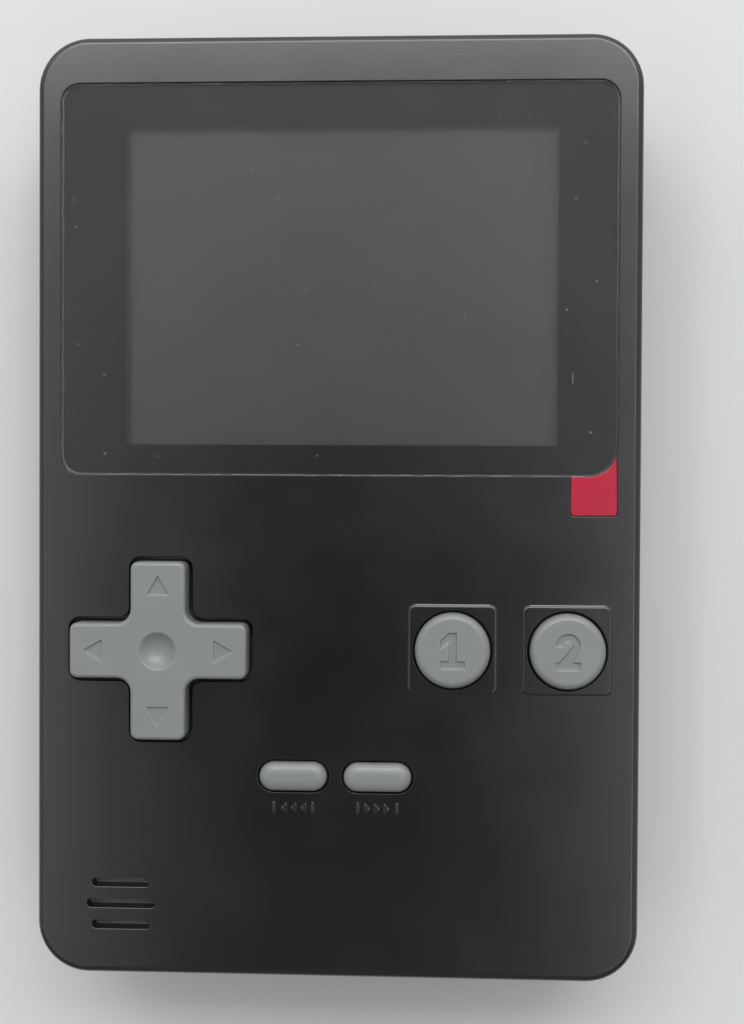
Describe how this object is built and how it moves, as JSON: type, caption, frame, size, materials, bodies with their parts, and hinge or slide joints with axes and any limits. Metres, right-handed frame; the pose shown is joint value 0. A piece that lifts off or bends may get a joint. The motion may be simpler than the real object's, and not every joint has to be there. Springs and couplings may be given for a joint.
{
  "type": "handheld game console",
  "caption": "handheld game console with flush screen lens, cross direction pad, round and pill-shaped press buttons, side power slider and sliding battery door",
  "frame": {"origin": "under the middle of the case, on the surface that the console lies on", "axes": "+Z out of the screen face, +Y towards the top of the screen, +X to the right seen from the front"},
  "size_m": [0.068, 0.106, 0.0244],
  "materials": {
    "case_plastic": "black ABS with a fine spark-eroded mould texture",
    "key_plastic": "grey ABS, satin moulded",
    "tab_plastic": "red ABS, satin moulded",
    "lens_acrylic": "clear acrylic with a hard gloss coat",
    "border_ink": "black printed film",
    "display_glass": "unlit liquid crystal panel, grey-green",
    "backlight_plastic": "white moulded light guide frame",
    "foam": "closed-cell black foam",
    "flex_film": "amber polyimide film",
    "board_laminate": "green solder mask on glass laminate",
    "chip_epoxy": "black epoxy drop",
    "component_metal": "drawn cans and tinned leads",
    "screw_steel": "zinc-plated steel",
    "contact_steel": "nickel-plated spring steel",
    "speaker_steel": "stamped steel frame",
    "magnet_ferrite": "dark sintered ferrite",
    "cone_film": "formed plastic film",
    "silicone": "translucent white silicone",
    "carbon_rubber": "conductive carbon rubber",
    "nylon": "white nylon",
    "lead_pvc": "red insulation",
    "cell_sleeve": "plain printed film sleeve on a metal can"
  },
  "bodies": {
    "case": {"front_case": "case_plastic", "rear_case": "case_plastic", "screen_lens": "lens_acrylic", "border_film": "border_ink", "accent_tab": "tab_plastic", "display_glass": "display_glass", "display_backlight": "backlight_plastic", "display_gasket": "foam", "display_cushion": "foam", "display_flex": "flex_film", "main_board": "board_laminate", "chip_drop": "chip_epoxy", "board_components": "component_metal", "board_screws": "screw_steel", "case_screws": "screw_steel", "direction_membrane": "silicone", "action_membrane": "silicone", "menu_membrane": "silicone", "speaker_frame": "speaker_steel", "speaker_cone": "cone_film", "speaker_magnet": "magnet_ferrite", "speaker_gasket": "foam", "speaker_leads": "lead_pvc", "power_switch": "contact_steel", "cell_lower": "cell_sleeve", "cell_middle": "cell_sleeve", "cell_upper": "cell_sleeve", "contact_plates": "contact_steel", "battery_springs": "contact_steel", "battery_leads": "lead_pvc"},
    "pad_rocker": {"up_down_contacts": "carbon_rubber"},
    "direction_pad": {"direction_pad": "key_plastic", "left_right_contacts": "carbon_rubber"},
    "button_one": {"button_one": "key_plastic", "contact_one": "carbon_rubber"},
    "button_two": {"button_two": "key_plastic", "contact_two": "carbon_rubber"},
    "reset_button": {"reset_button": "key_plastic", "reset_contact": "carbon_rubber"},
    "start_button": {"start_button": "key_plastic", "start_contact": "carbon_rubber"},
    "power_knob": {"power_knob": "case_plastic", "switch_actuator": "nylon"},
    "battery_door": {"battery_door": "case_plastic"}
  },
  "joints": [
    {"name": "pad_tilt_up_down", "type": "hinge", "parent": "case", "child": "pad_rocker", "pos_m": [-0.0199, -0.016, 0.01765], "axis": [1, 0, 0], "range_deg": [-3.5, 3.5], "stiffness_Nm_per_rad": 0.3, "deforming": ["direction_membrane"]},
    {"name": "pad_tilt_left_right", "type": "hinge", "parent": "pad_rocker", "child": "direction_pad", "pos_m": [-0.0199, -0.016, 0.01765], "axis": [0, 1, 0], "range_deg": [-3.5, 3.5], "stiffness_Nm_per_rad": 0.3, "deforming": ["direction_membrane"]},
    {"name": "button_one_press", "type": "slide", "parent": "case", "child": "button_one", "axis": [0, 0, -1], "range_m": [0, 0.0009], "stiffness_N_per_m": 900, "springref_m": -0.0006, "deforming": ["action_membrane"]},
    {"name": "button_two_press", "type": "slide", "parent": "case", "child": "button_two", "axis": [0, 0, -1], "range_m": [0, 0.0009], "stiffness_N_per_m": 900, "springref_m": -0.0006, "deforming": ["action_membrane"]},
    {"name": "reset_press", "type": "slide", "parent": "case", "child": "reset_button", "axis": [0, 0, -1], "range_m": [0, 0.0009], "stiffness_N_per_m": 900, "springref_m": -0.0006, "deforming": ["menu_membrane"]},
    {"name": "start_press", "type": "slide", "parent": "case", "child": "start_button", "axis": [0, 0, -1], "range_m": [0, 0.0009], "stiffness_N_per_m": 900, "springref_m": -0.0006, "deforming": ["menu_membrane"]},
    {"name": "power_slide", "type": "slide", "parent": "case", "child": "power_knob", "axis": [0, 1, 0], "range_m": [0, 0.0025]},
    {"name": "door_slide", "type": "slide", "parent": "case", "child": "battery_door", "axis": [0, -1, 0], "range_m": [0, 0.044]}
  ]
}
